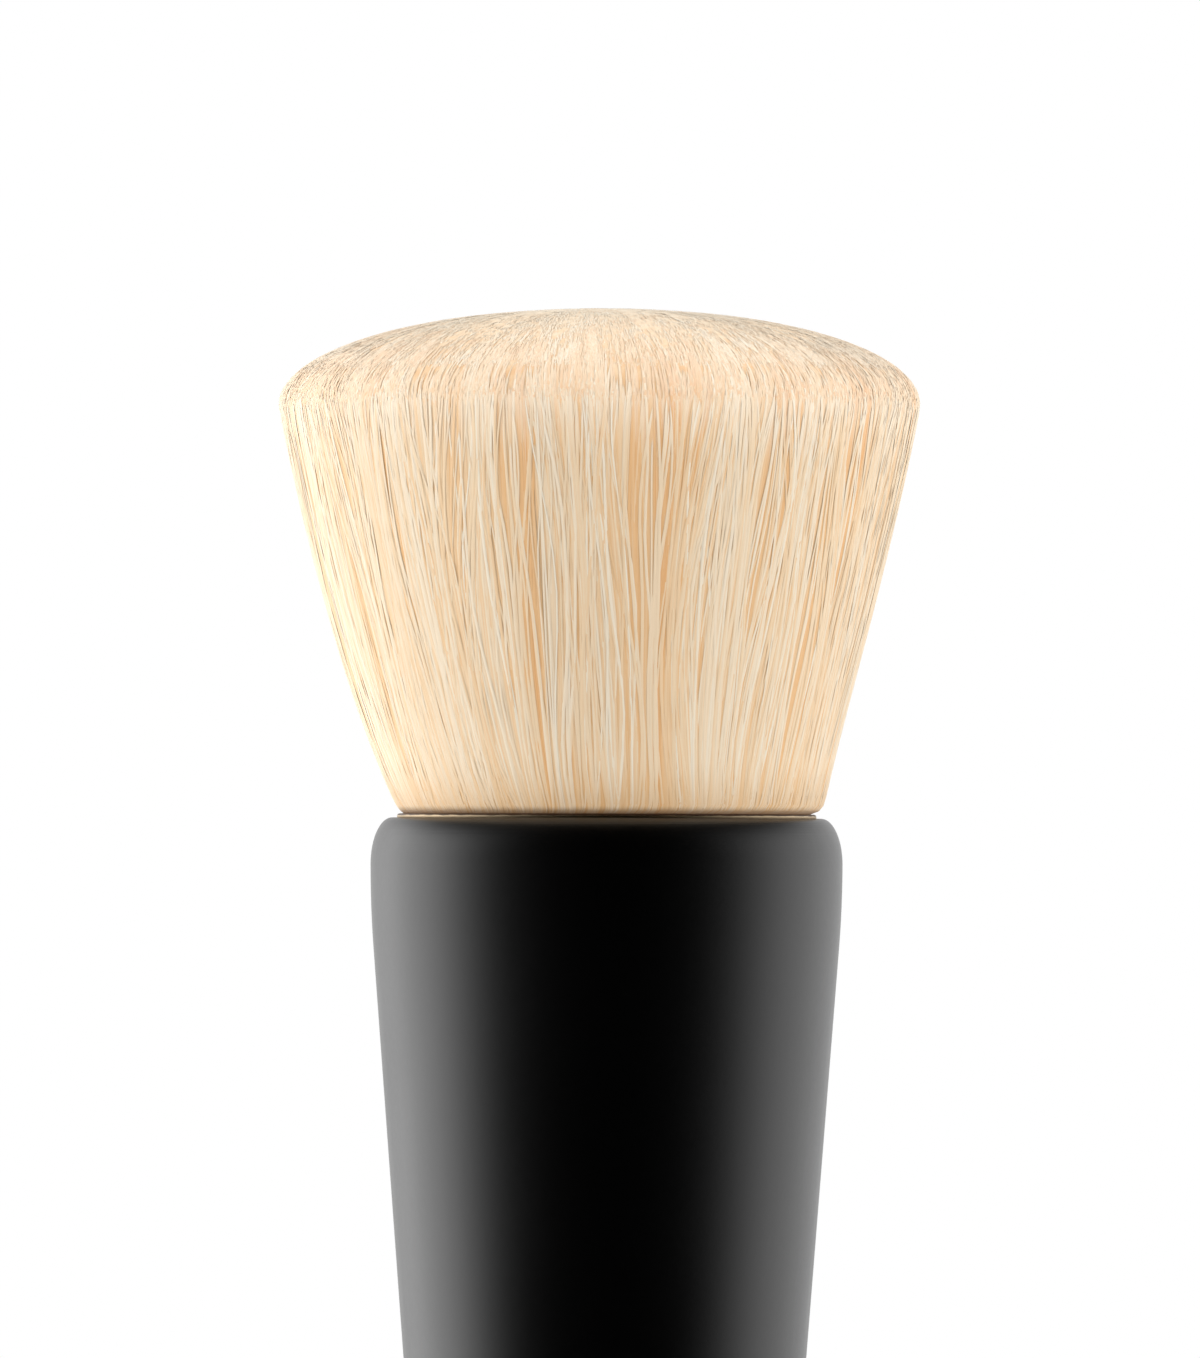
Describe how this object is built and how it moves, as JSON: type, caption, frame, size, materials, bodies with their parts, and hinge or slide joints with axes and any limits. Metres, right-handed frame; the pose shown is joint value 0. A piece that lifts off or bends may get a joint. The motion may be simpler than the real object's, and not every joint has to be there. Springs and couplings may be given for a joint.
{
  "type": "blending brush",
  "caption": "Cosmetic blending brush with a dense domed tuft of soft bristles in a recessed conical ferrule, on a tapered matte black handle that stands on its butt.",
  "frame": {"origin": "middle of the flat face of the butt, on which the brush stands", "axes": "+Z along the handle's axis towards the bristles, +X to the right and +Y away from the viewer of the picture"},
  "size_m": [0.0319, 0.0319, 0.1055],
  "materials": {
    "handle_lacquer": "turned wood under a smooth matte black lacquer",
    "ferrule_metal": "drawn tube, satin, champagne anodised",
    "handle_glue": "set two-part glue, dull",
    "root_glue": "bristle roots set in clear amber glue",
    "thread": "twisted polyester thread, undyed",
    "hair": "fine straight pale blond bristles with a soft sheen, tapered tips"
  },
  "bodies": {
    "root": {"handle": "handle_lacquer", "ferrule": "ferrule_metal", "ferrule_adhesive": "handle_glue", "root_adhesive": "root_glue", "binding_thread": "thread", "bristles": "hair"}
  },
  "joints": []
}
